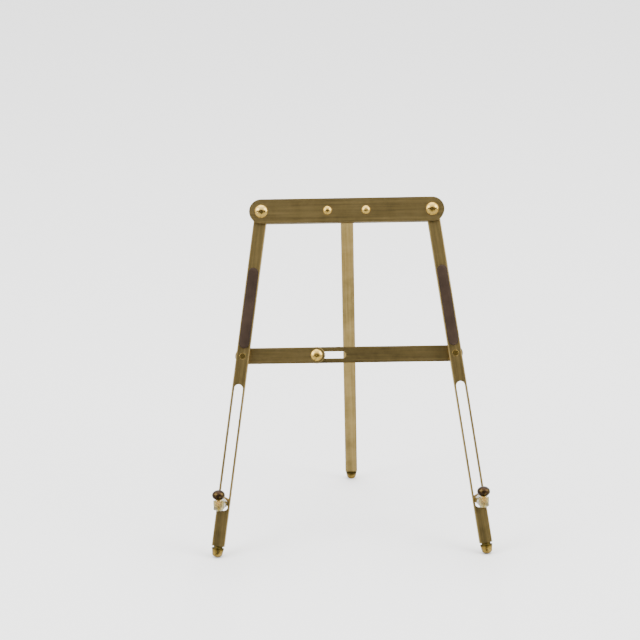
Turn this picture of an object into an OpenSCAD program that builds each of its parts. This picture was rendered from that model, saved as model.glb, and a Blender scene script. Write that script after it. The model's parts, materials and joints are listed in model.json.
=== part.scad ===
// Folding display stand for a plate. Two splayed, slotted front legs hang from a
// head; each carries a sleeved hook that slides in its slot and is held by a nut.
// Two sliding braces set the width, and a hinged rear strut props the frame.

/* [Stance] */
// Distance between the tips of the front feet
foot_spacing = 133.5; // [128:0.5:140]
// Lean of the front frame back from upright, in degrees
frame_lean = 17; // [15:1:19]
// Splay of each front leg from the upright centreline, in degrees
leg_splay = 8.2; // [7.8:0.1:8.6]
// Length of a front leg, from its foot's tip to the head pivot
leg_length = 172; // [168:1:180]
// Distance of the rear foot behind the front feet
rear_reach = 112; // [106:1:118]

/* [Legs] */
// Width of a leg bar, seen from the front
leg_w = 6.35; // [6:0.05:6.6]
// Depth of a leg bar, front to back
leg_t = 4.5; // [4.2:0.1:4.8]
// Bevel along the edges of the bars
bar_bevel = 0.4; // [0.2:0.1:0.6]
// Width of the slot that a hook slides in
slot_w = 4.4; // [4.4:0.1:4.6]
// Lower end of the slot, from the foot's tip
slot_low = 23; // [22:0.5:23.5]
// Upper end of the slot, from the foot's tip
slot_high = 86; // [84:1:88]
// Height of the brace pivots up a leg, from the foot's tip
brace_height = 100; // [98:1:104]

/* [Feet] */
// Largest diameter of a turned foot, at its top
foot_d = 6.15; // [5.6:0.05:6.3]
// Diameter of a foot just above its rounded end
foot_low_d = 5; // [4.6:0.1:5.2]
// Height of a turned foot
foot_h = 4.75; // [4.5:0.05:5.2]
// Diameter of the neck between foot and bar
neck_d = 4.5; // [4:0.1:4.6]
// Height of that neck
neck_h = 0.85; // [0.6:0.05:1]
// Radius of the dome under a foot
foot_dome_r = 3.2; // [3:0.1:3.4]
// Depth that wear has flattened the dome by
foot_wear = 0.12; // [0.1:0.01:0.16]

/* [Hooks] */
// Height of the hooks up a leg, from the foot's tip
hook_height = 27; // [26.5:0.5:40]
// Reach of a hook in front of the middle of its leg
hook_reach = 30; // [26:1:36]
// Distance that the load has pushed each hook outwards in its slot
hook_offset = 0.6; // [0.2:0.1:0.6]
// Diameter of the hook's rod
rod_d = 3; // [2.8:0.1:3]
// Radius of the rod's bend, on its centreline
bend_r = 3; // [2.9:0.1:3.4]
// Outer diameter of the clear sleeve
sleeve_d = 5.2; // [4.8:0.1:5.4]
// Diameter of the knob on a hook's tip
knob_d = 6.3; // [6:0.1:6.6]
// Height of that knob
knob_h = 5; // [4.8:0.1:5.4]
// Width across flats of the hexagon nut behind a hook
hook_nut_af = 5.5; // [5.4:0.1:5.6]
// Thickness of that nut
hook_nut_h = 2.4; // [2.2:0.1:2.8]

/* [Head and braces] */
// Width of the head plates
head_w = 12; // [11:0.5:13]
// Thickness of the head plates
plate_t = 1.6; // [1.4:0.1:1.8]
// Width of a brace
brace_w = 8; // [7.5:0.5:8.5]
// Thickness of a brace
brace_t = 1.5; // [1.3:0.1:1.6]
// Diameter of the thumb nut on the brace stud
nut_d = 8.6; // [8:0.1:9]
// Thickness of that thumb nut
nut_h = 4.6; // [4:0.1:5]
// Diameter of the pivot pins, screws and stud
pin_d = 3; // [2.8:0.1:3]

/* [Hidden] */

$fn = 64;

BRASS = "#b8945a";
DARK_BRASS = "#6f5836";
CLEAR_VINYL = "#dcdfd2";
DARK_RUBBER = "#4a3a2e";

LEFT = -1;
RIGHT = 1;

// Gap between faces that slide past each other, and the play of a pin in its bore
face_gap = 0.3;
nut_gap = 0.15;
pin_play = 0.05;
bore_d = pin_d + 2 * pin_play;

// Where a bar starts above its foot, and how deep the foot's spigot goes
bar_start = foot_h + neck_h;
spigot_d = 3;
spigot_depth = 8;
eye_r = 4.6;
shoulder_r = 0.8;

// Layers behind the legs, measured from the middle of the leg bars
leg_back = leg_t / 2;
plate_inner = leg_back + face_gap;
plate_outer = plate_inner + plate_t;
left_brace_back = leg_back + face_gap + brace_t;
right_brace_front = left_brace_back + face_gap;
right_brace_back = right_brace_front + brace_t;

// Head: pivots, rivets and the bracket that carries the strut
pivot_x = foot_spacing / 2 - leg_length * sin(leg_splay);
pivot_z = leg_length * cos(leg_splay);
rivet_x = 9.5;
rivet_d = 2.5;
rivet_head_d = 4.4;
rivet_head_h = 1;
flange_x = 8;
flange_h = 11;
flange_t = 1.5;
lug_t = 1.5;
lug_x = leg_w / 2 + face_gap;
strut_pin_gap = 4.6;
strut_eye_r = 4;
strut_pin_y = plate_outer + flange_t + strut_pin_gap;

// Braces: pivots on the legs, the stud, and the slot that it slides in
brace_x = foot_spacing / 2 - brace_height * sin(leg_splay);
brace_z = brace_height * cos(leg_splay);
stud_x = -16;
brace_slot_w = pin_d + 0.4;
brace_slot_near = -1.4;
brace_slot_far = -30.4;
brace_rivet_head_d = 5.5;

// Washers, and the hook's nut and threaded tail behind the leg
brace_washer_d = 8;
hook_washer_d = 5.4;
washer_t = 0.8;
hook_washer_y = leg_back + nut_gap;
hook_nut_y = hook_washer_y + washer_t + nut_gap;
rod_tail_y = hook_nut_y + hook_nut_h + 1.2;
sleeve_start_y = leg_back + nut_gap;
knob_socket = 3;

// Rest pads on the fronts of the legs
pad_w = 5;
pad_t = 1.2;
pad_low = 104;
pad_len = 40;
pad_end_r = pad_w / 2;

// Heights and places in the row frame. The floor cuts each foot's dome a little
// above its lowest point, and the origin is under the middle of the whole stand.
dome_height = foot_dome_r - foot_wear;
frame_lift = dome_height - foot_dome_r * cos(frame_lean) * cos(leg_splay);
strut_pin_back = strut_pin_y * cos(frame_lean) + pivot_z * sin(frame_lean);
strut_pin_up = pivot_z * cos(frame_lean) - strut_pin_y * sin(frame_lean) + frame_lift;
strut_angle = atan2(rear_reach - strut_pin_back, strut_pin_up - dome_height);
strut_length = (strut_pin_up - dome_height) / cos(strut_angle) + foot_dome_r;
strut_open = strut_angle + frame_lean;
heel_z = (strut_pin_gap - 0.2 - leg_back * cos(strut_open)) / sin(strut_open);
hook_root_z = hook_height * cos(leg_splay) + hook_offset * sin(leg_splay);
front_y = (hook_root_z + bend_r) * sin(frame_lean)
    - (hook_reach - bend_r) * cos(frame_lean) - bend_r - sleeve_d / 2;
rear_y = rear_reach + foot_d / 2 * cos(strut_angle)
    - (foot_h - foot_dome_r) * sin(strut_angle);
origin_y = (front_y + rear_y) / 2;

// Points along an arc, for turned outlines
function arc(centre, r, from, to, steps) = [
    for (i = [0:steps])
        let (a = from + (to - from) * i / steps)
            [centre[0] + r * cos(a), centre[1] + r * sin(a)]
];

// ---- Places ------------------------------------------------------------------

// The front frame: X across, Z up the leaning plane, -Y towards the plate
module in_frame() {
    translate([0, -origin_y, frame_lift])
        rotate([-frame_lean, 0, 0])
            children();
}

// A leg: Z from the foot's tip up the bar's axis
module on_leg(side) {
    in_frame()
        translate([side * foot_spacing / 2, 0, 0])
            rotate([0, -side * leg_splay, 0])
                children();
}

// A hook: -Y along the arm, Z up the short post
module on_hook(side) {
    on_leg(side)
        translate([side * hook_offset, 0, hook_height])
            rotate([0, side * leg_splay, 0])
                children();
}

// The strut: Z from the rear foot's tip up to the pin
module on_strut() {
    translate([0, strut_pin_back - origin_y, strut_pin_up])
        rotate([strut_angle, 0, 0])
            translate([0, 0, -strut_length])
                children();
}

// Turns a shape made along Z so that it points backwards, starting at a layer
module facing_back(y) {
    translate([0, y, 0])
        rotate([-90, 0, 0])
            children();
}

module below_floor() {
    translate([-200, -200, -20])
        cube([400, 400, 20]);
}

// ---- Shared shapes -----------------------------------------------------------

// Bar section with bevelled edges
module bar_section() {
    x = leg_w / 2;
    y = leg_t / 2;
    b = bar_bevel;
    polygon([
        [b - x, -y], [x - b, -y], [x, b - y], [x, y - b],
        [x - b, y], [b - x, y], [-x, y - b], [-x, b - y]
    ]);
}

// Disc along Z with bevelled rims
module bevelled_disc(r, h, b) {
    rotate_extrude()
        polygon([[0, 0], [r - b, 0], [r, b], [r, h - b], [r - b, h], [0, h]]);
}

// Flat strip with round ends, lying in XZ, from one centre to the other
module strip(x1, x2, w, y1, y2) {
    for (x = [x1, x2])
        translate([x, 0, 0])
            facing_back(y1)
                cylinder(d = w, h = y2 - y1);
    translate([min(x1, x2), y1, -w / 2])
        cube([abs(x2 - x1), y2 - y1, w]);
}

// Round-ended slot cut from front to back through a bar along Z
module slot_cut(w, low, high, t) {
    for (z = [low + w / 2, high - w / 2])
        translate([0, 0, z])
            facing_back(-t)
                cylinder(d = w, h = 2 * t);
    translate([-w / 2, -t, low + w / 2])
        cube([w, 2 * t, high - low - w]);
}

// Low domed head along Z
module domed_head(d, h) {
    r = (d * d / 4 + h * h) / (2 * h);
    intersection() {
        translate([0, 0, h - r])
            sphere(r, $fn = 96);
        cylinder(d = d, h = h);
    }
}

// Hexagon nut with a domed end, along Z
module dome_nut() {
    flats_r = 3.4;
    hex_h = 2;
    dome_r = 2.7;
    difference() {
        union() {
            cylinder(r = flats_r, h = hex_h, $fn = 6);
            translate([0, 0, hex_h])
                intersection() {
                    sphere(dome_r);
                    cylinder(r = flats_r, h = dome_r);
                }
        }
        translate([0, 0, -1])
            cylinder(d = pin_d, h = hex_h + 1.8);
    }
}

// Straight-knurled thumb nut with a plain boss, along Z
module thumb_nut() {
    teeth = 30;
    knurl_depth = 0.35;
    rim_h = nut_h * 0.68;
    difference() {
        union() {
            linear_extrude(rim_h)
                polygon([
                    for (i = [0:2 * teeth - 1])
                        let (r = nut_d / 2 - knurl_depth * (i % 2), a = 180 * i / teeth)
                            [r * cos(a), r * sin(a)]
                ]);
            bevelled_disc(nut_d * 0.34, nut_h, 0.3);
        }
        translate([0, 0, -1])
            cylinder(d = bore_d, h = nut_h + 2);
    }
}

// Hexagon nut with chamfered corners and upright sides, along Z
module hex_nut() {
    corner_r = hook_nut_af / 2 / cos(30);
    difference() {
        intersection() {
            rotate([0, 0, 30])
                cylinder(r = corner_r, h = hook_nut_h, $fn = 6);
            bevelled_disc(corner_r + 0.05, hook_nut_h, 0.4);
        }
        translate([0, 0, -1])
            cylinder(d = bore_d, h = hook_nut_h + 2);
    }
}

// Flat washer, along Z
module washer(d) {
    difference() {
        bevelled_disc(d / 2, washer_t, 0.15);
        translate([0, 0, -1])
            cylinder(d = bore_d, h = washer_t + 2);
    }
}

// Turned foot along Z: dome, rounded shoulder, flare, neck and spigot
module foot_blank() {
    reach = foot_dome_r - shoulder_r;
    meet = -acos((foot_low_d / 2 - shoulder_r) / reach);
    shoulder = [reach * cos(meet), foot_dome_r + reach * sin(meet)];
    top_r = foot_d / 2;
    rim = 0.25;
    rotate_extrude()
        polygon(concat(
            arc([0, foot_dome_r], foot_dome_r, -90, meet, 12),
            arc(shoulder, shoulder_r, meet, -8, 8),
            arc([top_r - rim, foot_h - rim], rim, -8, 90, 6),
            [
                [neck_d / 2, foot_h], [neck_d / 2, bar_start],
                [spigot_d / 2, bar_start], [spigot_d / 2, bar_start + spigot_depth],
                [0, bar_start + spigot_depth]
            ]
        ));
}

// Bar with a spigot hole in its foot end
module bar_blank(top) {
    difference() {
        translate([0, 0, bar_start])
            linear_extrude(top - bar_start)
                bar_section();
        translate([0, 0, bar_start - 1])
            cylinder(d = spigot_d, h = spigot_depth + 1);
    }
}

// Round rod or tube bent through a right angle at the front of a hook's arm
module bend(outer_d, inner_d) {
    translate([0, bend_r - hook_reach, bend_r])
        rotate([0, 90, 0])
            rotate([0, 0, -90])
                rotate_extrude(angle = 90)
                    translate([bend_r, 0])
                        difference() {
                            circle(d = outer_d);
                            if (inner_d > 0) circle(d = inner_d);
                        }
}

// ---- Head --------------------------------------------------------------------

// One head plate, drilled for the leg screws and the rivets
module head_plate(y1, y2) {
    in_frame()
        translate([0, 0, pivot_z])
            difference() {
                strip(-pivot_x, pivot_x, head_w, y1, y2);
                for (x = [-pivot_x, pivot_x])
                    translate([x, 0, 0])
                        facing_back(y1 - 1)
                            cylinder(d = pin_d, h = y2 - y1 + 2);
                for (x = [-rivet_x, rivet_x])
                    translate([x, 0, 0])
                        facing_back(y1 - 1)
                            cylinder(d = rivet_d, h = y2 - y1 + 2);
            }
}

module head_front_plate() {
    color(BRASS) head_plate(-plate_outer, -plate_inner);
}

module head_rear_plate() {
    color(BRASS) head_plate(plate_inner, plate_outer);
}

// Shouldered rivets that hold the plates apart and clamp the strut bracket
module head_rivets() {
    back = plate_outer + flange_t;
    color(BRASS)
        in_frame()
            for (x = [-rivet_x, rivet_x])
                translate([x, 0, pivot_z]) {
                    facing_back(-plate_inner)
                        cylinder(d = 5, h = 2 * plate_inner);
                    facing_back(-plate_outer)
                        cylinder(d = rivet_d, h = plate_outer + back);
                    facing_back(back)
                        domed_head(rivet_head_d, rivet_head_h);
                    translate([0, -plate_outer, 0])
                        rotate([90, 0, 0])
                            domed_head(rivet_head_d, rivet_head_h);
                }
}

module leg_pivot_screws() {
    head_d = 6.4;
    head_h = 1.3;
    color(BRASS)
        in_frame()
            for (x = [-pivot_x, pivot_x])
                translate([x, 0, pivot_z]) {
                    facing_back(-plate_outer)
                        cylinder(d = pin_d, h = 2 * plate_outer + 2.6);
                    translate([0, -plate_outer, 0])
                        rotate([90, 0, 0])
                            difference() {
                                domed_head(head_d, head_h);
                                translate([-head_d, -0.35, head_h - 0.6])
                                    cube([2 * head_d, 0.7, 1]);
                            }
                }
}

module leg_pivot_nuts() {
    color(BRASS)
        in_frame()
            for (x = [-pivot_x, pivot_x])
                translate([x, 0, pivot_z])
                    facing_back(plate_outer)
                        dome_nut();
}

// Flanged bracket with two lugs for the strut's pin
module strut_bracket() {
    color(BRASS)
        in_frame()
            translate([0, 0, pivot_z])
                difference() {
                    union() {
                        strip(-flange_x, flange_x, flange_h, plate_outer,
                            plate_outer + flange_t);
                        for (side = [LEFT, RIGHT])
                            translate([side * (lug_x + lug_t / 2), 0, 0])
                                bracket_lug();
                    }
                    for (x = [-rivet_x, rivet_x])
                        translate([x, 0, 0])
                            facing_back(plate_outer - 1)
                                cylinder(d = rivet_d, h = flange_t + 2);
                    translate([-20, strut_pin_y, 0])
                        rotate([0, 90, 0])
                            cylinder(d = pin_d, h = 40);
                }
}

module bracket_lug() {
    lug_h = 2 * strut_eye_r;
    translate([-lug_t / 2, strut_pin_y, 0])
        rotate([0, 90, 0])
            cylinder(d = lug_h, h = lug_t);
    translate([-lug_t / 2, plate_outer + flange_t / 2, -lug_h / 2])
        cube([lug_t, strut_pin_gap + flange_t / 2, lug_h]);
}

module strut_pin() {
    outer_x = lug_x + lug_t;
    color(BRASS)
        in_frame()
            translate([-outer_x, strut_pin_y, pivot_z])
                rotate([0, 90, 0]) {
                    cylinder(d = pin_d, h = 2 * outer_x + 2.6);
                    rotate([180, 0, 0])
                        domed_head(5.6, 1.3);
                }
}

module strut_pin_nut() {
    color(BRASS)
        in_frame()
            translate([lug_x + lug_t, strut_pin_y, pivot_z])
                rotate([0, 90, 0])
                    dome_nut();
}

// ---- Rear strut --------------------------------------------------------------

// Bar with an eye for the pin and a square heel that stops it when it is open
module rear_strut() {
    color(BRASS)
        on_strut()
            difference() {
                union() {
                    bar_blank(strut_length + heel_z);
                    translate([-leg_w / 2, 0, strut_length])
                        rotate([0, 90, 0])
                            bevelled_disc(strut_eye_r, leg_w, bar_bevel);
                }
                translate([-leg_w, 0, strut_length])
                    rotate([0, 90, 0])
                        cylinder(d = bore_d, h = 2 * leg_w);
            }
}

module rear_foot() {
    color(BRASS)
        difference() {
            on_strut() foot_blank();
            below_floor();
        }
}

// ---- Front legs --------------------------------------------------------------

// Slotted bar with an eye at the head and a hole for the brace rivet
module leg(side) {
    color(BRASS)
        on_leg(side)
            difference() {
                union() {
                    bar_blank(leg_length);
                    translate([0, 0, leg_length])
                        facing_back(-leg_t / 2)
                            bevelled_disc(eye_r, leg_t, bar_bevel);
                }
                slot_cut(slot_w, slot_low, slot_high, leg_t);
                translate([0, 0, leg_length])
                    facing_back(-leg_t)
                        cylinder(d = bore_d, h = 2 * leg_t);
                translate([0, 0, brace_height])
                    facing_back(-leg_t)
                        cylinder(d = pin_d, h = 2 * leg_t);
            }
}

module left_leg() {
    leg(LEFT);
}

module right_leg() {
    leg(RIGHT);
}

module leg_foot(side) {
    color(BRASS)
        difference() {
            on_leg(side) foot_blank();
            below_floor();
        }
}

module left_foot() {
    leg_foot(LEFT);
}

module right_foot() {
    leg_foot(RIGHT);
}

// Soft rubber strip glued to the front of a leg, where the plate's back leans
module rest_pad(side) {
    low = pad_low + pad_end_r;
    high = pad_low + pad_len - pad_end_r;
    color(DARK_RUBBER)
        on_leg(side) {
            for (z = [low, high])
                translate([0, 0, z])
                    facing_back(-leg_back - pad_t)
                        cylinder(d = pad_w, h = pad_t);
            translate([-pad_w / 2, -leg_back - pad_t, low])
                cube([pad_w, pad_t, high - low]);
        }
}

module left_rest_pad() {
    rest_pad(LEFT);
}

module right_rest_pad() {
    rest_pad(RIGHT);
}

// ---- Braces ------------------------------------------------------------------

// Plain link that carries the stud
module left_brace() {
    front = leg_back + face_gap;
    color(BRASS)
        in_frame()
            translate([0, 0, brace_z])
                difference() {
                    strip(-brace_x, stud_x, brace_w, front, left_brace_back);
                    translate([-brace_x, 0, 0])
                        facing_back(front - 1)
                            cylinder(d = bore_d, h = brace_t + 2);
                    translate([stud_x, 0, 0])
                        facing_back(front - 1)
                            cylinder(d = pin_d, h = brace_t + 2);
                }
}

// Slotted link that slides on the stud
module right_brace() {
    slot_1 = brace_slot_far + brace_slot_w / 2;
    slot_2 = brace_slot_near - brace_slot_w / 2;
    color(BRASS)
        in_frame()
            translate([0, 0, brace_z])
                difference() {
                    strip(brace_slot_far, brace_x, brace_w, right_brace_front, right_brace_back);
                    strip(slot_1, slot_2, brace_slot_w, right_brace_front - 1, right_brace_back + 1);
                    translate([brace_x, 0, 0])
                        facing_back(right_brace_front - 1)
                            cylinder(d = bore_d, h = brace_t + 2);
                }
}

// Rivet fixed in a leg: shank, shoulder up to the brace, and a head behind it
module brace_rivet(side, brace_front) {
    head_y = brace_front + brace_t + nut_gap;
    shoulder_h = brace_front - nut_gap - leg_back;
    color(BRASS)
        on_leg(side)
            translate([0, 0, brace_height]) {
                facing_back(-leg_back)
                    cylinder(d = pin_d, h = leg_back + head_y);
                facing_back(leg_back)
                    cylinder(d = brace_rivet_head_d, h = shoulder_h);
                facing_back(head_y)
                    domed_head(brace_rivet_head_d, 1.1);
            }
}

module left_brace_rivet() {
    brace_rivet(LEFT, leg_back + face_gap);
}

module right_brace_rivet() {
    brace_rivet(RIGHT, right_brace_front);
}

module on_stud(y) {
    in_frame()
        translate([stud_x, 0, brace_z])
            facing_back(y)
                children();
}

// Stud fixed in the left brace, with a flat head in front
module brace_stud() {
    head_h = 1.1;
    front = leg_back + face_gap;
    tail = right_brace_back + nut_gap + washer_t + nut_gap + nut_h + 1;
    color(BRASS) {
        on_stud(front)
            cylinder(d = pin_d, h = tail - front);
        on_stud(front)
            rotate([180, 0, 0])
                domed_head(6, head_h);
    }
}

module brace_washer() {
    color(BRASS)
        on_stud(right_brace_back + nut_gap)
            difference() {
                washer(brace_washer_d);
                translate([0, 0, -1])
                    cylinder(d = pin_d, h = washer_t + 2);
            }
}

module brace_thumb_nut() {
    color(BRASS)
        on_stud(right_brace_back + nut_gap + washer_t + nut_gap)
            thumb_nut();
}

// ---- Hooks -------------------------------------------------------------------

// Bent rod: threaded tail behind the leg, arm, bend and short post
module hook_rod(side) {
    color(BRASS)
        on_hook(side) {
            facing_back(bend_r - hook_reach)
                cylinder(d = rod_d, h = hook_reach - bend_r + rod_tail_y);
            bend(rod_d, 0);
            translate([0, -hook_reach, bend_r])
                cylinder(d = rod_d, h = knob_socket);
        }
}

module left_hook_rod() {
    hook_rod(LEFT);
}

module right_hook_rod() {
    hook_rod(RIGHT);
}

// Clear tube over the arm and the bend, as far as the knob
module hook_sleeve(side) {
    arm_h = hook_reach - bend_r - sleeve_start_y;
    color(CLEAR_VINYL)
        on_hook(side) {
            facing_back(bend_r - hook_reach)
                difference() {
                    cylinder(d = sleeve_d, h = arm_h);
                    translate([0, 0, -1])
                        cylinder(d = rod_d, h = arm_h + 2);
                }
            bend(sleeve_d, rod_d);
        }
}

module left_hook_sleeve() {
    hook_sleeve(LEFT);
}

module right_hook_sleeve() {
    hook_sleeve(RIGHT);
}

// Flattened ball pressed on the post
module hook_knob(side) {
    color(DARK_BRASS)
        on_hook(side)
            translate([0, -hook_reach, bend_r])
                difference() {
                    rotate_extrude()
                        polygon([
                            for (i = [0:24])
                                let (a = -90 + 180 * i / 24)
                                    [knob_d / 2 * cos(a), knob_h / 2 * (1 + sin(a))]
                        ]);
                    translate([0, 0, -1])
                        cylinder(d = rod_d, h = knob_socket + 1);
                }
}

module left_hook_knob() {
    hook_knob(LEFT);
}

module right_hook_knob() {
    hook_knob(RIGHT);
}

module hook_washer(side) {
    color(BRASS)
        on_hook(side)
            facing_back(hook_washer_y)
                washer(hook_washer_d);
}

module left_hook_washer() {
    hook_washer(LEFT);
}

module right_hook_washer() {
    hook_washer(RIGHT);
}

module hook_nut(side) {
    color(BRASS)
        on_hook(side)
            facing_back(hook_nut_y)
                hex_nut();
}

module left_hook_nut() {
    hook_nut(LEFT);
}

module right_hook_nut() {
    hook_nut(RIGHT);
}

// ---- Nodes -------------------------------------------------------------------

head_front_plate();
head_rear_plate();
head_rivets();
leg_pivot_screws();
leg_pivot_nuts();
strut_bracket();
strut_pin();
strut_pin_nut();
rear_strut();
rear_foot();
left_leg();
right_leg();
left_foot();
right_foot();
left_rest_pad();
right_rest_pad();
left_brace();
right_brace();
left_brace_rivet();
right_brace_rivet();
brace_stud();
brace_washer();
brace_thumb_nut();
left_hook_rod();
right_hook_rod();
left_hook_sleeve();
right_hook_sleeve();
left_hook_knob();
right_hook_knob();
left_hook_washer();
right_hook_washer();
left_hook_nut();
right_hook_nut();
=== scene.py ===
"""Looks of the plate display stand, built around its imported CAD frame.

Sizes of pieces are in millimetres and become metres in put(). Places, the camera and
the lights are in metres. Local frames have X across the stand, Y towards its back and
Z up the leg, hook or strut that they belong to.
"""
import json
import math

import bmesh
import bpy
from mathutils import Matrix, Vector, noise


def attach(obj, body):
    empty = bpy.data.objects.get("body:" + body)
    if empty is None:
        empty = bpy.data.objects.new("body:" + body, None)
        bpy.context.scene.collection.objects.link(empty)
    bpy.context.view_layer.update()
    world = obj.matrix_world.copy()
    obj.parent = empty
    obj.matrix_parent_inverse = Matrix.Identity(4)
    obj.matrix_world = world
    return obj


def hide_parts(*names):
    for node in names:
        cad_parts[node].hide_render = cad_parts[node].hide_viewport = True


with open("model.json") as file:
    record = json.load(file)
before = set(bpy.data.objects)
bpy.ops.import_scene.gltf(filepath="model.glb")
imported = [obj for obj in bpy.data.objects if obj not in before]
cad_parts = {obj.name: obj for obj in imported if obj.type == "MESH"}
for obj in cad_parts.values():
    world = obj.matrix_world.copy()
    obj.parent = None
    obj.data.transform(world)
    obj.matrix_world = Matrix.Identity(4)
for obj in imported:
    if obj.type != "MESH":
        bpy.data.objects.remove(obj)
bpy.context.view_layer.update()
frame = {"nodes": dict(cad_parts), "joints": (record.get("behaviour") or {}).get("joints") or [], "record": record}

MM = 0.001
SIDES = (("left", -1), ("right", 1))

# Sizes shared with the CAD model
LEG_LENGTH = 172
LEG_DEPTH = 4.5
LEG_BACK = LEG_DEPTH / 2
FOOT_D = 6.15
FOOT_LOW_D = 5
FOOT_H = 4.75
NECK_D = 4.5
NECK_H = 0.85
DOME_R = 3.2
FOOT_WEAR = 0.12
SHOULDER_R = 0.8
SPIGOT_D = 3
SPIGOT_DEPTH = 8
HOOK_REACH = 30
ROD_D = 3
BEND_R = 3
SLEEVE_D = 5.2
KNOB_D = 6.3
KNOB_H = 5
KNOB_SOCKET = 3
HOOK_NUT_AF = 5.5
HOOK_NUT_H = 2.4
THUMB_NUT_D = 8.6
THUMB_NUT_H = 4.6
NUT_GAP = 0.15
WASHER_T = 0.8
BORE_D = 3.1
FACE_GAP = 0.3
BRACE_T = 1.5
HOOK_NUT_Y = LEG_BACK + NUT_GAP + WASHER_T + NUT_GAP
ROD_TAIL_Y = HOOK_NUT_Y + HOOK_NUT_H + 1.2
BRACE_NUT_Y = LEG_BACK + 2 * (FACE_GAP + BRACE_T) + NUT_GAP + WASHER_T + NUT_GAP
PAD_W = 5
PAD_LOW = 104
PAD_LEN = 40

# Camera: its distance, its angles in degrees, its lens and the point it looks at
CAMERA_DISTANCE = 1.0
CAMERA_PITCH = 15.6
CAMERA_AZIMUTH = 0.98
CAMERA_ROLL = 1.16
CAMERA_LENS = 117.7
CAMERA_AIM = (-0.01348, 0, 0.12057)

# Kink in each sleeve: how far along the arm, how far it sticks out, and its angle
# below the arm's outer side
KINK_Y = -28.1
KINK_OUT = 0.5
KINK_DOWN = 35

# Soft boxes: where they hang, their width and height, and their power in watts
BOXES = (
    ("left_box", (-1.0, -0.6, 0.75), (0.7, 1.0), 12),
    ("right_box", (1.05, -0.5, 0.8), (0.7, 1.0), 15),
    ("top_box", (0, 0.2, 1.5), (1.2, 1.0), 10),
)
BOX_AIM = (0, 0, 0.08)

# Light of the room: at eye level, overhead, how much of it is left in front, and as
# the camera sees it
ROOM_LOW = 0.5
ROOM_HIGH = 3.4
ROOM_FRONT = 0.03
ROOM_SEEN = 2.4


# ---- Places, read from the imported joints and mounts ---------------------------

def joint(name):
    """Packed joint of this name."""
    return next(j for j in frame["joints"] if j["name"] == name)


def mount(name):
    """Mount of this name in the record."""
    return next(m for m in frame["record"]["mounts"] if m["name"] == name)


def axes(across, back, up, origin):
    """Matrix that takes local X, Y, Z to these directions, from this origin."""
    turn = Matrix((across, back, up)).transposed().to_4x4()
    return Matrix.Translation(origin) @ turn


ACROSS = Vector((1, 0, 0))
BACK = Vector(joint("left_hook_turn")["axis"]).normalized()
UP = ACROSS.cross(BACK)


def leg_place(side):
    """Local frame of a front leg, from its foot's tip up the bar."""
    up = Vector(joint(side + "_hook_slide")["axis"]).normalized()
    pivot = Vector(joint(side + "_leg_spread")["pos_m"])
    return axes(BACK.cross(up), BACK, up, pivot - LEG_LENGTH * MM * up)


def hook_place(side):
    """Local frame of a hook: its arm runs along -Y at this height."""
    return axes(ACROSS, BACK, UP, Vector(joint(side + "_hook_turn")["pos_m"]))


def strut_place():
    """Local frame of the rear strut, from its foot's tip up to the pin."""
    pin = Vector(joint("strut_fold")["pos_m"])
    dome = Vector(mount("rear_foot_rest")["pos_m"])
    dome.z = (DOME_R - FOOT_WEAR) * MM
    up = (pin - dome).normalized()
    return axes(ACROSS, up.cross(ACROSS), up, dome - DOME_R * MM * up)


def facing_back(place, y):
    """The same place turned so that local Z points backwards, starting at y."""
    turn = Matrix.Rotation(math.radians(-90), 4, "X")
    return place @ Matrix.Translation((0, y * MM, 0)) @ turn


# ---- Mesh code ----------------------------------------------------------------

def arc(centre, r, start, end, steps):
    """Points along an arc in a turned outline, angles in degrees."""
    points = []
    for i in range(steps + 1):
        a = math.radians(start + (end - start) * i / steps)
        points.append((centre[0] + r * math.cos(a), centre[1] + r * math.sin(a)))
    return points


def put(name, rings, place, body, nodes, material, closed=True, caps=True):
    """Skins rings of points (in mm) and hands the piece to its body and nodes."""
    bm = bmesh.new()
    rows = []
    for ring in rings:
        rows.append([bm.verts.new(Vector(p) * MM) for p in ring])
    count = len(rows[0])
    span = count if closed else count - 1
    for low, high in zip(rows, rows[1:]):
        for i in range(span):
            j = (i + 1) % count
            bm.faces.new((low[i], low[j], high[j], high[i]))
    if caps:
        bm.faces.new(list(reversed(rows[0])))
        bm.faces.new(rows[-1])
    bmesh.ops.remove_doubles(bm, verts=bm.verts, dist=1e-7)
    bmesh.ops.recalc_face_normals(bm, faces=bm.faces)
    bm.transform(place)
    mesh = bpy.data.meshes.new(name)
    bm.to_mesh(mesh)
    bm.free()
    return dress(name, mesh, body, nodes, material)


def dress(name, mesh, body, nodes, material, sharp=38):
    """Makes the object of a finished mesh, smooth but for its sharp edges."""
    mesh.polygons.foreach_set("use_smooth", [True] * len(mesh.polygons))
    mesh.set_sharp_from_angle(angle=math.radians(sharp))
    mesh.materials.append(material)
    piece = bpy.data.objects.new(name, mesh)
    bpy.context.scene.collection.objects.link(piece)
    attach(piece, body)
    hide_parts(*nodes)
    return piece


def turned(outline, steps=96):
    """Rings of an outline of (radius, height) turned about Z."""
    angles = [2 * math.pi * i / steps for i in range(steps)]
    return [[(r * math.cos(a), r * math.sin(a), z) for a in angles] for r, z in outline]


# ---- Turned and bent pieces ---------------------------------------------------

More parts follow.
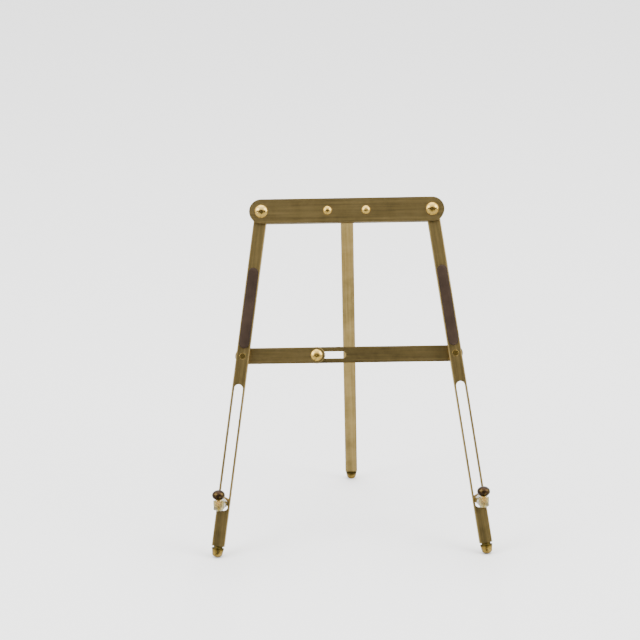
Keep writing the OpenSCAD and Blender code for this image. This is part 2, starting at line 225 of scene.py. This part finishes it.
def foot(name, place, body, node, material):
    """Turned foot: worn dome, rounded shoulder, flared side, rim, neck and spigot."""
    reach = DOME_R - SHOULDER_R
    meet = -math.degrees(math.acos((FOOT_LOW_D / 2 - SHOULDER_R) / reach))
    lean = math.radians(meet)
    shoulder = (reach * math.cos(lean), DOME_R + reach * math.sin(lean))
    flare = -8
    rim, fillet = 0.25, 0.2
    top = FOOT_D / 2
    neck = NECK_D / 2
    bar_start = FOOT_H + NECK_H
    outline = arc((0, DOME_R), DOME_R, -89.9, meet, 16)
    outline += arc(shoulder, SHOULDER_R, meet, flare, 10)
    outline += arc((top - rim, FOOT_H - rim), rim, flare, 90, 8)
    outline += arc((neck + fillet, FOOT_H + fillet), fillet, -90, -180, 5)
    outline += [(neck, bar_start), (SPIGOT_D / 2, bar_start)]
    outline += [(SPIGOT_D / 2, bar_start + SPIGOT_DEPTH)]
    piece = put(name, turned(outline), place, body, [node], material)
    for vertex in piece.data.vertices:
        vertex.co.z = max(vertex.co.z, 0)
    return piece


def knob(side, place, material):
    """Flattened ball, socketed on the hook's post."""
    outline = [(ROD_D / 2, KNOB_SOCKET), (ROD_D / 2, 0.45)]
    steps = 47
    for i in range(steps + 1):
        a = math.radians(-60 + 149.9 * i / steps)
        outline.append((KNOB_D / 2 * math.cos(a), KNOB_H / 2 * (1 + math.sin(a))))
    seat = place @ Matrix.Translation((0, -HOOK_REACH * MM, BEND_R * MM))
    name = side + "_hook_knob"
    return put("knob_" + side, turned(outline), seat, side + "_hook", [name], material)


def arm_path(start_y, end_z, bend_steps, step):
    """Centreline of a hook from behind, round the bend and up, as (point, tangent)."""
    path = []
    bend_y = BEND_R - HOOK_REACH
    count = max(2, int((start_y - bend_y) / step))
    for i in range(count):
        y = start_y + (bend_y - start_y) * i / count
        path.append((Vector((0, y, 0)), Vector((0, -1, 0))))
    for i in range(bend_steps + 1):
        a = math.radians(90 * i / bend_steps)
        point = Vector((0, bend_y - BEND_R * math.sin(a), BEND_R * (1 - math.cos(a))))
        path.append((point, Vector((0, -math.cos(a), math.sin(a)))))
    if end_z > BEND_R:
        path.append((Vector((0, -HOOK_REACH, end_z)), Vector((0, 0, 1))))
    return path


def ring_round(point, tangent, radius, steps):
    """Ring about a path's point; radius is a function of the angle round it."""
    side = Vector((1, 0, 0))
    other = tangent.cross(side)
    ring = []
    for i in range(steps):
        a = 2 * math.pi * i / steps
        r = radius(a)
        ring.append(point + side * (r * math.cos(a)) + other * (r * math.sin(a)))
    return ring


def hook_rod(side, place, material):
    """Bent rod with a cut thread on its tail."""
    pitch = 0.5
    depth = 0.16
    steps = 40
    tail = ROD_TAIL_Y
    thread_end = LEG_BACK - 1.5
    runout = 0.8
    chamfer = 0.4
    rings = []
    count = int((tail - thread_end) / (pitch / 8))
    for i in range(count + 1):
        y = tail - (tail - thread_end) * i / count
        fade = min(1, (y - thread_end) / runout)
        end_cut = max(0, chamfer - (tail - y))

        def radius(a, y=y, fade=fade, end_cut=end_cut):
            turn = (y / pitch + a / (2 * math.pi)) % 1
            cut = depth * fade * abs(2 * turn - 1)
            return ROD_D / 2 - cut - end_cut
        rings.append(ring_round(Vector((0, y, 0)), Vector((0, -1, 0)), radius, steps))
    post_end = BEND_R + KNOB_SOCKET - 0.1
    for point, tangent in arm_path(thread_end - 0.2, post_end, bend_steps=14, step=3):
        rings.append(ring_round(point, tangent, lambda a: ROD_D / 2, steps))
    name = side + "_hook_rod"
    return put("rod_" + side, rings, place, side + "_hook", [name], material)


def sleeve(side, sign, place, material):
    """Clear tube pushed over the arm and round the bend, where it has wrinkled on the
    inside and kinked to a corner on the outside."""
    steps = 96
    outer = SLEEVE_D / 2 - 0.05
    lumen = ROD_D / 2 + 0.18
    wrinkled, kinked, kink_width = 1.6, 0.7, 0.26
    wrinkle_depth, ripple_depth, cut_depth = 0.13, 0.015, 0.12
    bend_y = BEND_R - HOOK_REACH
    kink_side = math.radians(-KINK_DOWN if sign > 0 else 180 + KINK_DOWN)
    path = arm_path(-LEG_BACK - NUT_GAP, BEND_R, bend_steps=24, step=0.4)
    rings = []
    for index, (point, tangent) in enumerate(path):
        near_bend = math.exp(-((point.y - bend_y) / wrinkled) ** 2)
        near_kink = math.exp(-((point.y - KINK_Y) / kinked) ** 2)
        end_cut = cut_depth if index in (0, len(path) - 1) else 0

        def radius(a, index=index, y=point.y, bend=near_bend, kink=near_kink, cut=end_cut):
            inside = max(0, math.sin(a)) ** 3
            wrinkle = wrinkle_depth * bend * inside * (1 + math.cos(index * 1.3))
            away = math.remainder(a - kink_side, 2 * math.pi)
            corner = KINK_OUT * kink * math.exp(-(away / kink_width) ** 2)
            spot = Vector((math.cos(a), math.sin(a), y * 0.4 + sign))
            ripple = ripple_depth * noise.noise(spot)
            return outer - wrinkle + corner + ripple - cut
        rings.append(ring_round(point, tangent, radius, steps))
    for point, tangent in reversed(path):
        rings.append(ring_round(point, tangent, lambda a: lumen, steps))
    rings.append(rings[0])
    name = side + "_hook_sleeve"
    return put("sleeve_" + side, rings, place, side + "_hook", [name], material, caps=False)


def thumb_nut(name, place, body, node, material):
    """Knurled thumb nut: bevelled rim with cut teeth, turned boss and chamfered bore."""
    teeth = 30
    steps = teeth * 8
    depth = 0.34
    rim_h = THUMB_NUT_H * 0.68
    boss = THUMB_NUT_D * 0.34
    outer = THUMB_NUT_D / 2
    bore = BORE_D / 2
    outline = [(bore, 0.25, 0), (bore + 0.25, 0, 0), (outer - 0.75, 0, 0)]
    outline += [(outer - 0.45, 0.05, 0.2), (outer, 0.5, 1), (outer, rim_h / 2, 1)]
    outline += [(outer, rim_h - 0.5, 1), (outer - 0.45, rim_h - 0.05, 0.2)]
    outline += [(outer - 0.75, rim_h, 0), (boss + 0.25, rim_h, 0)]
    top = THUMB_NUT_H
    outline += [(boss, rim_h + 0.2, 0), (boss, top - 0.3, 0)]
    outline += [(boss - 0.09, top - 0.09, 0), (boss - 0.3, top, 0)]
    outline += [(bore + 0.25, top, 0), (bore, top - 0.25, 0), (bore, 0.25, 0)]
    rings = []
    for r, z, cut in outline:
        ring = []
        for i in range(steps):
            a = 2 * math.pi * i / steps
            wave = abs((i / 8) % 1 * 2 - 1)
            ring_r = r - depth * cut * (1 - wave) ** 1.3
            ring.append((ring_r * math.cos(a), ring_r * math.sin(a), z))
        rings.append(ring)
    return put(name, rings, place, body, [node], material, caps=False)


def hex_nut(name, place, body, node, material):
    """Hexagon nut: corners rounded off by a chamfer on both faces, and a bore."""
    steps = 144
    half = HOOK_NUT_AF / 2
    corner = half / math.cos(math.radians(30))
    bore = BORE_D / 2
    height = HOOK_NUT_H
    chamfer = 0.42
    layers = [(bore, 0.3), (bore + 0.3, 0)]
    for i in range(9):
        drop = chamfer * i / 8
        layers.append((corner + 0.05 - chamfer + drop, drop * 0.85))
    for i in range(9):
        drop = chamfer * (8 - i) / 8
        layers.append((corner + 0.05 - chamfer + drop, height - drop * 0.85))
    layers += [(bore + 0.3, height), (bore, height - 0.3), (bore, 0.3)]
    rings = []
    for r, z in layers:
        ring = []
        for i in range(steps):
            a = 2 * math.pi * i / steps
            flat = math.radians(30) - abs((a % math.radians(60)) - math.radians(30))
            limit = half / math.cos(flat)
            ring_r = min(r, limit - 0.03)
            ring.append((ring_r * math.cos(a), ring_r * math.sin(a), z))
        rings.append(ring)
    return put(name, rings, place, body, [node], material, caps=False)


def rest_pad(side, place, material):
    """Soft rubber strip with a crowned face and round ends."""
    half = PAD_W / 2
    low = PAD_LOW + half
    high = PAD_LOW + PAD_LEN - half
    steps = 24
    edge = [arc((0, high), half, 0, 180, steps), arc((0, low), half, 180, 360, steps)]
    loop = edge[0] + edge[1]
    crown = ((0, 0), (0, 0.6), (0.08, 0.86), (0.3, 1.06), (0.7, 1.14), (1.4, 1.19))
    rings = []
    for inset, lift in crown:
        scale = (half - inset) / half
        ring = []
        for x, z in loop:
            mid = min(max(z, low), high)
            ring.append((x * scale, -LEG_BACK - lift, mid + (z - mid) * scale))
        rings.append(ring)
    name = side + "_rest_pad"
    return put("pad_" + side, rings, place, side + "_leg", [name], material)


# ---- Materials ----------------------------------------------------------------

# Colours of brass from tarnished to clean
BAR_TONES = ((0.16, 0.118, 0.047), (0.33, 0.238, 0.09), (0.46, 0.335, 0.135))
FOOT_TONES = ((0.15, 0.09, 0.016), (0.34, 0.225, 0.055), (0.52, 0.365, 0.115))
POLISHED_TONES = ((0.33, 0.20, 0.04), (0.52, 0.345, 0.085), (0.64, 0.45, 0.14))
AGED_NUT_TONES = ((0.05, 0.032, 0.012), (0.14, 0.092, 0.033), (0.3, 0.2, 0.07))
AGED_TONES = ((0.016, 0.009, 0.007), (0.042, 0.025, 0.013), (0.13, 0.088, 0.026))
# Painted shade: the dark brown that the top of each foot fades to, under its bar
FOOT_TOP_SHADE = (0.07, 0.05, 0.012)

# Clear vinyl: its two tints, a painted gold highlight under the knob and a near-black spot in the kink
VINYL_TINTS = ((0.45, 0.35, 0.09), (0.60, 0.49, 0.17))
PAINTED_GLINT = (0.84, 0.64, 0.20)
# Near-black colour of the spot in the kink
KINK_SPOT = (0.012, 0.011, 0.010)

# Finishes of brass: its colours, roughness, scratches, tarnish and painted shade
BAR = {"tones": BAR_TONES, "rough": 0.34, "scratch": 0.25}
PLATE = {"tones": BAR_TONES, "rough": 0.32, "scratch": 0.25}
POLISHED = {"tones": POLISHED_TONES, "rough": 0.22, "scratch": 0.15}
AGED_NUT = {"tones": AGED_NUT_TONES, "rough": 0.3, "scratch": 0.15, "patch": 300}
AGED_KNOB = {"tones": AGED_TONES, "rough": 0.3, "scratch": 0.25, "patch": 450}
# On the feet, dark gives the heights where painted shade darkens the top, under the bar
FOOT = {"tones": FOOT_TONES, "rough": 0.2, "scratch": 0.15, "patch": 350,
        "dark": (FOOT_H - 1.5, FOOT_H - 0.5)}

# Frequency of the tool marks along each axis: drawn along an axis, turned about one,
# or the same all over
ALONG_X = (90, 5500, 5500)
ALONG_Y = (5000, 200, 5000)
ALONG_Z = (5500, 5500, 90)
ROUND_Y = (300, 9000, 300)
ROUND_Z = (300, 300, 9000)
EVEN = (900, 900, 900)


class Nodes:
    """Short way to build a node material around its Principled shader."""

    def __init__(self, name):
        self.material = bpy.data.materials.new(name)
        self.material.use_nodes = True
        self.tree = self.material.node_tree
        self.shader = self.tree.nodes["Principled BSDF"]

    def add(self, kind, inputs=None, **settings):
        """New node with its settings, and its inputs linked or set by name."""
        node = self.tree.nodes.new(kind)
        for key, value in settings.items():
            setattr(node, key, value)
        for key, value in (inputs or {}).items():
            if isinstance(value, bpy.types.NodeSocket):
                self.tree.links.new(value, node.inputs[key])
            else:
                node.inputs[key].default_value = value
        return node

    def link(self, value, key):
        """Feeds one of the shader's inputs."""
        self.tree.links.new(value, self.shader.inputs[key])

    def ramp(self, value, stops):
        """Colours at positions from 0 to 1 along a value."""
        node = self.add("ShaderNodeValToRGB", {"Fac": value})
        elements = node.color_ramp.elements
        while len(elements) < len(stops):
            elements.new(0.5)
        for element, (position, colour) in zip(elements, stops):
            element.position = position
            element.color = (*colour, 1)
        return node.outputs["Color"]

    def coords(self, place, stretch=(1, 1, 1)):
        """Coordinates in a local frame, in metres, stretched along each axis."""
        inside = place.inverted()
        values = {"Rotation": inside.to_euler(), "Location": inside.translation}
        coord = self.add("ShaderNodeTexCoord")
        first = self.add("ShaderNodeMapping", {"Vector": coord.outputs["Object"], **values})
        second = self.add("ShaderNodeMapping", {"Vector": first.outputs[0], "Scale": stretch})
        return second.outputs[0]

    def height(self, place):
        """Height along a local frame's Z, in millimetres."""
        parts = self.add("ShaderNodeSeparateXYZ", {"Vector": self.coords(place)})
        return self.maths("MULTIPLY", parts.outputs["Z"], 1000)

    def mix(self, share, first, second):
        """Colours mixed by a share from 0 to 1."""
        node = self.add("ShaderNodeMix", data_type="RGBA")
        for key, value in ((0, share), (6, first), (7, second)):
            if isinstance(value, bpy.types.NodeSocket):
                self.tree.links.new(value, node.inputs[key])
            else:
                node.inputs[key].default_value = value
        return node.outputs[2]

    def noise(self, vector, scale, detail=4, rough=0.55):
        """Noise from 0 to 1, with this many features in a metre of its coordinates."""
        values = {"Vector": vector, "Scale": scale, "Detail": detail, "Roughness": rough}
        return self.add("ShaderNodeTexNoise", values).outputs["Fac"]

    def maths(self, operation, a, b):
        """Result of a sum on two sockets or numbers."""
        node = self.add("ShaderNodeMath", operation=operation)
        for socket, value in zip(node.inputs, (a, b)):
            if isinstance(value, bpy.types.NodeSocket):
                self.tree.links.new(value, socket)
            else:
                socket.default_value = value
        return node.outputs[0]

    def weighed(self, a, a_weight, b, b_weight):
        """Two values added up with their weights."""
        first = self.maths("MULTIPLY", a, a_weight)
        return self.maths("ADD", first, self.maths("MULTIPLY", b, b_weight))

    def spread(self, value, low, high, start=0, end=1):
        """Maps a value's start to end onto low to high."""
        values = {"Value": value, "From Min": start, "From Max": end,
                  "To Min": low, "To Max": high}
        return self.add("ShaderNodeMapRange", values).outputs["Result"]


def brass(name, place, grain, tones, rough, scratch, patch=60, dark=None):
    """Brass worked along one direction of a local frame, with patchy tarnish.

    grain is the frequency of the tool marks along each axis, tones the colour from
    tarnished to clean, rough the mean roughness and scratch the strength of the marks.
    patch is the frequency of the tarnish, and dark the heights (in mm) between which a
    painted shade fades in, full above the higher one.
    """
    n = Nodes(name)
    fine = n.noise(n.coords(place, grain), 1, detail=3)
    broad = n.noise(n.coords(place, [f * 0.2 for f in grain]), 1, detail=2)
    patches = n.noise(n.coords(place), patch, detail=6, rough=0.6)
    lines = n.weighed(fine, 0.4, broad, 0.6)
    mixed = n.weighed(patches, 0.55, lines, 0.45)
    colour = n.ramp(mixed, list(zip((0.35, 0.5, 0.64), tones)))
    worn = n.spread(patches, rough + 0.08, rough - 0.06)
    haze = n.maths("ADD", worn, n.spread(lines, -0.05, 0.05))
    # Painted shade: darker towards the top of the piece, standing in for the shade under the bar
    if dark:
        height = n.maths("ADD", n.height(place), n.spread(patches, -0.4, 0.4))
        shade_band = n.spread(height, 0, 1, *dark)
        colour = n.mix(shade_band, colour, (*FOOT_TOP_SHADE, 1))
        haze = n.maths("ADD", haze, n.maths("MULTIPLY", shade_band, 0.2))
    n.link(colour, "Base Color")
    n.shader.inputs["Metallic"].default_value = 1
    n.link(haze, "Roughness")
    bump = n.add("ShaderNodeBump", {"Strength": scratch, "Distance": 0.0001, "Height": lines})
    n.link(bump.outputs["Normal"], "Normal")
    return n.material


def clear_vinyl(name, place, sign):
    """Clear flexible tube gone cloudy, with a painted gold highlight under the knob and a near-black opaque spot
    in its kink.
    """
    n = Nodes(name)
    haze = n.noise(n.coords(Matrix.Identity(4)), 320, detail=2)
    local = n.coords(place)

    def around(centre, near, far):
        """1 within near mm of a point of the hook's frame, 0 beyond far mm."""
        apart = n.add("ShaderNodeVectorMath", operation="DISTANCE")
        n.tree.links.new(local, apart.inputs[0])
        apart.inputs[1].default_value = Vector(centre) * MM
        return n.spread(apart.outputs["Value"], 1, 0, near * MM, far * MM)

    tint = n.ramp(haze, list(zip((0.35, 0.65), VINYL_TINTS)))
    # Painted highlight: a gold patch under the knob, standing in for lit brass seen through the tube
    under_knob = (0, -HOOK_REACH - SLEEVE_D / 2, 1.8)
    glint_mask = around(under_knob, near=0.9, far=2.4)
    tint = n.mix(glint_mask, tint, (*PAINTED_GLINT, 1))
    # Near-black, opaque and rough spot low on the outer side of the kink
    in_kink = (sign * 2.55, KINK_Y - 0.6, -1.5)
    kink_spot = around(in_kink, near=0.8, far=1.5)
    n.link(n.mix(kink_spot, tint, (*KINK_SPOT, 1)), "Base Color")
    n.link(n.spread(kink_spot, 0.86, 0), "Transmission Weight")
    n.shader.inputs["IOR"].default_value = 1.52
    n.link(n.mix(kink_spot, n.spread(haze, 0.01, 0.07), (0.8, 0.8, 0.8, 1)), "Roughness")
    bump = n.add("ShaderNodeBump", {"Strength": 0.35, "Distance": 0.0002, "Height": haze})
    n.link(bump.outputs["Normal"], "Normal")
    return n.material


def soft_rubber(name):
    """Dark brown rubber with a fine grain and a faint bloom."""
    n = Nodes(name)
    coord = n.coords(Matrix.Identity(4))
    grain = n.noise(coord, 2500, detail=3)
    bloom = n.noise(coord, 90, detail=5)
    colour = n.ramp(bloom, [(0.35, (0.020, 0.011, 0.006)), (0.7, (0.038, 0.022, 0.013))])
    n.link(colour, "Base Color")
    n.shader.inputs["Specular IOR Level"].default_value = 0.15
    n.link(n.spread(bloom, 0.6, 0.75), "Roughness")
    bump = n.add("ShaderNodeBump", {"Strength": 0.3, "Distance": 0.0001, "Height": grain})
    n.link(bump.outputs["Normal"], "Normal")
    return n.material


# ---- Making -------------------------------------------------------------------

FRAME_PLACE = axes(ACROSS, BACK, UP, Vector((0, 0, 0)))


def finish_cad(nodes, material, edge):
    """Joins the facets of CAD nodes, breaks their sharp edges and gives them a finish."""
    for name in nodes:
        obj = frame["nodes"][name]
        obj.data.materials.clear()
        obj.data.materials.append(material)
        weld = obj.modifiers.new("weld", "WELD")
        weld.merge_threshold = 1e-6
        flat = obj.modifiers.new("flat", "DECIMATE")
        flat.decimate_type = "DISSOLVE"
        flat.angle_limit = math.radians(0.5)
        bevel = obj.modifiers.new("edge", "BEVEL")
        bevel.width = edge * MM
        bevel.segments = 2
        bevel.limit_method = "ANGLE"
        bevel.angle_limit = math.radians(32)
        normals = obj.modifiers.new("normals", "WEIGHTED_NORMAL")
        normals.keep_sharp = False


def make_stand():
    """Hands every CAD node a finish, or replaces it with a finer mesh."""
    rubber = soft_rubber("soft_rubber")
    for side, sign in SIDES:
        leg_at = leg_place(side)
        hook_at = hook_place(side)
        bar_brass = brass(side + "_bar_brass", leg_at, ALONG_Z, **BAR)
        foot_brass = brass(side + "_foot_brass", leg_at, ROUND_Z, **FOOT)
        rod_brass = brass(side + "_rod_brass", hook_at, ALONG_Y, **POLISHED)
        aged_brass = brass(side + "_aged_brass", hook_at, EVEN, **AGED_KNOB)
        finish_cad([side + "_leg"], bar_brass, edge=0.12)
        front_foot = foot("foot_" + side, leg_at, side + "_leg", side + "_foot", foot_brass)
        knob(side, hook_at, aged_brass)
        hook_rod(side, hook_at, rod_brass)
        clear = clear_vinyl(side + "_clear_vinyl", hook_at, sign)
        sleeve(side, sign, hook_at, clear)
        rest_pad(side, leg_at, rubber)
        nut_at = facing_back(hook_at, HOOK_NUT_Y)
        nut_brass = brass(side + "_nut_brass", nut_at, ROUND_Z, **AGED_NUT)
        nut = hex_nut("nut_" + side, nut_at, side + "_nut", side + "_hook_nut", nut_brass)

    strut_at = strut_place()
    strut_brass = brass("strut_brass", strut_at, ALONG_Z, **BAR)
    rear_brass = brass("rear_foot_brass", strut_at, ROUND_Z, **FOOT)
    plate_brass = brass("plate_brass", FRAME_PLACE, ALONG_X, **PLATE)
    small_brass = brass("small_brass", FRAME_PLACE, ROUND_Y, **POLISHED)
    finish_cad(["rear_strut"], strut_brass, edge=0.12)
    plates = ["head_front_plate", "head_rear_plate", "left_brace", "right_brace", "strut_bracket"]
    finish_cad(plates, plate_brass, edge=0.2)
    fittings = ["head_rivets", "leg_pivot_screws", "leg_pivot_nuts", "strut_pin", "strut_pin_nut",
                "left_brace_rivet", "right_brace_rivet", "brace_stud", "brace_washer",
                "left_hook_washer", "right_hook_washer"]
    finish_cad(fittings, small_brass, edge=0.1)
    foot("foot_rear", strut_at, "strut", "rear_foot", rear_brass)
    stud = Matrix.Translation(Vector(joint("brace_nut_turn")["pos_m"])) @ FRAME_PLACE
    nut_at = facing_back(stud, BRACE_NUT_Y)
    nut = thumb_nut("nut_brace", nut_at, "brace_nut", "brace_thumb_nut", small_brass)


def make_camera():
    """Camera at the viewing angle: aimed at a point in the plane of the front feet."""
    feet_y = mount("left_foot_rest")["pos_m"][1]
    pitch = math.radians(CAMERA_PITCH)
    turn = Matrix.Rotation(math.radians(CAMERA_AZIMUTH), 3, "Z")
    forward = turn @ Vector((0, math.cos(pitch), -math.sin(pitch)))
    aim = Vector((0, feet_y, 0)) + turn @ Vector(CAMERA_AIM)
    camera = bpy.data.objects.new("camera", bpy.data.cameras.new("camera"))
    bpy.context.scene.collection.objects.link(camera)
    camera.location = aim - CAMERA_DISTANCE * forward
    roll = Matrix.Rotation(math.radians(-CAMERA_ROLL), 3, "Z")
    camera.rotation_euler = (forward.to_track_quat("-Z", "Y").to_matrix() @ roll).to_euler()
    camera.data.lens = CAMERA_LENS
    camera.data.sensor_width = 36
    camera.data.clip_end = 50
    bpy.context.scene.camera = camera


def make_stage():
    """Pale floor that runs to the horizon, and looks darker in the brass."""
    bm = bmesh.new()
    bmesh.ops.create_grid(bm, x_segments=4, y_segments=4, size=8)
    mesh = bpy.data.meshes.new("floor")
    bm.to_mesh(mesh)
    bm.free()
    floor = bpy.data.objects.new("floor", mesh)
    bpy.context.scene.collection.objects.link(floor)
    n = Nodes("pale_floor")
    path = n.add("ShaderNodeLightPath")
    pale = (0.93, 0.93, 0.925, 1)
    in_reflections = (0.45, 0.45, 0.43, 1)
    n.link(n.mix(path.outputs["Is Glossy Ray"], pale, in_reflections), "Base Color")
    n.shader.inputs["Roughness"].default_value = 0.8
    floor.data.materials.append(n.material)


def make_flag():
    """Dark cards in front that only the brass sees: one standing, and a strip that
    leads to each front foot, wide at the left one."""
    far, top, half = -0.62, 0.5, 0.13
    lift, short_of_foot = 0.001, 0.008
    bm = bmesh.new()
    quads = [((-half, far, 0), (half, far, 0), (half, far, top), (-half, far, top))]
    for side, strip in (("left", 0.012), ("right", 0.005)):
        x, y, _ = mount(side + "_foot_rest")["pos_m"]
        near = y - short_of_foot
        left, right = x - strip, x + strip
        flat = ((left, near), (right, near), (right, far), (left, far))
        quads.append([(*corner, lift) for corner in flat])
    for quad in quads:
        bm.faces.new([bm.verts.new(corner) for corner in quad])
    mesh = bpy.data.meshes.new("dark_flag")
    bm.to_mesh(mesh)
    bm.free()
    flag = bpy.data.objects.new("dark_flag", mesh)
    bpy.context.scene.collection.objects.link(flag)
    n = Nodes("black_card")
    n.shader.inputs["Base Color"].default_value = (0.02, 0.02, 0.02, 1)
    n.shader.inputs["Roughness"].default_value = 0.9
    flag.data.materials.append(n.material)
    flag.visible_camera = False
    flag.visible_diffuse = False
    flag.visible_transmission = False
    flag.visible_shadow = False


def area_light(name, at, target, size, power):
    """Soft box of this width and height, aimed at a point."""
    light = bpy.data.lights.new(name, "AREA")
    light.shape = "RECTANGLE"
    light.size, light.size_y = size
    light.energy = power
    lamp = bpy.data.objects.new(name, light)
    bpy.context.scene.collection.objects.link(lamp)
    lamp.location = at
    lamp.rotation_euler = (Vector(target) - Vector(at)).to_track_quat("-Z", "Y").to_euler()


def make_light():
    """Soft boxes at both sides and above, and a pale room that is darker in front."""
    for name, at, size, power in BOXES:
        area_light(name, at, BOX_AIM, size, power)
    make_room()


def make_room():
    """Room light: bright above, softer at eye level and dark in front. It looks as
    pale as the floor."""
    world = bpy.data.worlds.new("room")
    bpy.context.scene.world = world
    world.use_nodes = True
    tree = world.node_tree

    def ramp(value, start, stops):
        """Grey ramp over a direction's value from start to 1."""
        shift = tree.nodes.new("ShaderNodeMapRange")
        shift.inputs["From Min"].default_value = start
        tree.links.new(value, shift.inputs["Value"])
        node = tree.nodes.new("ShaderNodeValToRGB")
        tree.links.new(shift.outputs[0], node.inputs["Fac"])
        for element, (position, grey) in zip(node.color_ramp.elements, stops):
            element.position = position
            element.color = (grey, grey, grey, 1)
        return node.outputs["Color"]

    coord = tree.nodes.new("ShaderNodeTexCoord")
    split = tree.nodes.new("ShaderNodeSeparateXYZ")
    tree.links.new(coord.outputs["Generated"], split.inputs[0])
    high = ramp(split.outputs["Z"], 0, [(0, ROOM_LOW), (0.8, ROOM_HIGH)])
    behind = ramp(split.outputs["Y"], -1, [(0.04, ROOM_FRONT), (0.24, 1)])
    light = tree.nodes.new("ShaderNodeMix")
    light.data_type = "RGBA"
    light.blend_type = "MULTIPLY"
    light.inputs[0].default_value = 1
    tree.links.new(high, light.inputs[6])
    tree.links.new(behind, light.inputs[7])
    path = tree.nodes.new("ShaderNodeLightPath")
    seen = tree.nodes.new("ShaderNodeMix")
    seen.data_type = "RGBA"
    tree.links.new(path.outputs["Is Camera Ray"], seen.inputs[0])
    tree.links.new(light.outputs[2], seen.inputs[6])
    seen.inputs[7].default_value = (ROOM_SEEN, ROOM_SEEN, ROOM_SEEN, 1)
    background = tree.nodes["Background"]
    tree.links.new(seen.outputs[2], background.inputs["Color"])


make_camera()
make_stand()
make_stage()
make_flag()
make_light()
